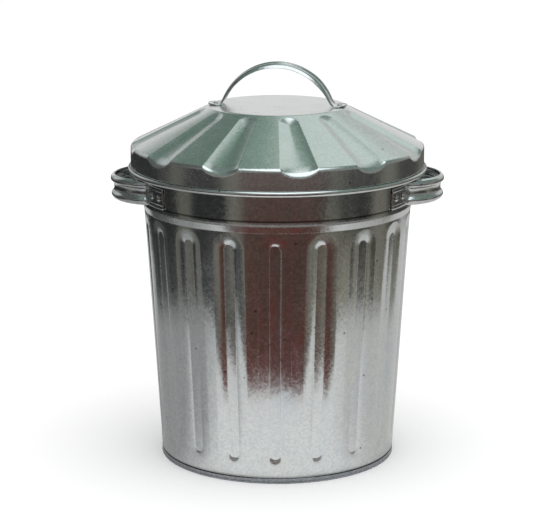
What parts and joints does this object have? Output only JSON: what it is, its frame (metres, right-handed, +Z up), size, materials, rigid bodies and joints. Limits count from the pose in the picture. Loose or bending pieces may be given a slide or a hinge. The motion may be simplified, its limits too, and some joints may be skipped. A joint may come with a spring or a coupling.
{
  "type": "galvanised dustbin",
  "caption": "Tapered, ribbed galvanised-steel dustbin with riveted strap carrying handles and a loose fluted lid with an arched strap handle.",
  "frame": {"origin": "centre of the base, on the surface the bin stands on", "axes": "+Z up along the bin's axis, -Y the front, carrying handles at -X and +X"},
  "size_m": [0.3352, 0.3, 0.4],
  "materials": {
    "galvanised_sheet": "bright hot-dip zinc with a fine spangle, lightly stained low down",
    "lid_sheet": "satin zinc with a fine spangle",
    "handle_strap": "bright zinc on pressed strip",
    "rivet": "bright, slightly dulled",
    "wire": "plain drawn wire, hidden in the rolled edges"
  },
  "bodies": {
    "bin": {"barrel": "galvanised_sheet", "rim_wire": "wire", "bottom_disc": "galvanised_sheet", "foot_ring": "galvanised_sheet", "side_handle_right": "handle_strap", "side_handle_left": "handle_strap", "side_handle_right_front_rivet_1": "rivet", "side_handle_right_front_rivet_2": "rivet", "side_handle_right_rear_rivet_1": "rivet", "side_handle_right_rear_rivet_2": "rivet", "side_handle_left_front_rivet_1": "rivet", "side_handle_left_front_rivet_2": "rivet", "side_handle_left_rear_rivet_1": "rivet", "side_handle_left_rear_rivet_2": "rivet"},
    "lid": {"lid": "lid_sheet", "lid_edge_wire": "wire", "lid_handle": "handle_strap", "lid_handle_right_rivet": "rivet", "lid_handle_left_rivet": "rivet"}
  },
  "joints": [
    {"name": "lid_lift", "type": "slide", "parent": "bin", "child": "lid", "axis": [0, 0, 1], "range_m": [0, 0.3]}
  ]
}
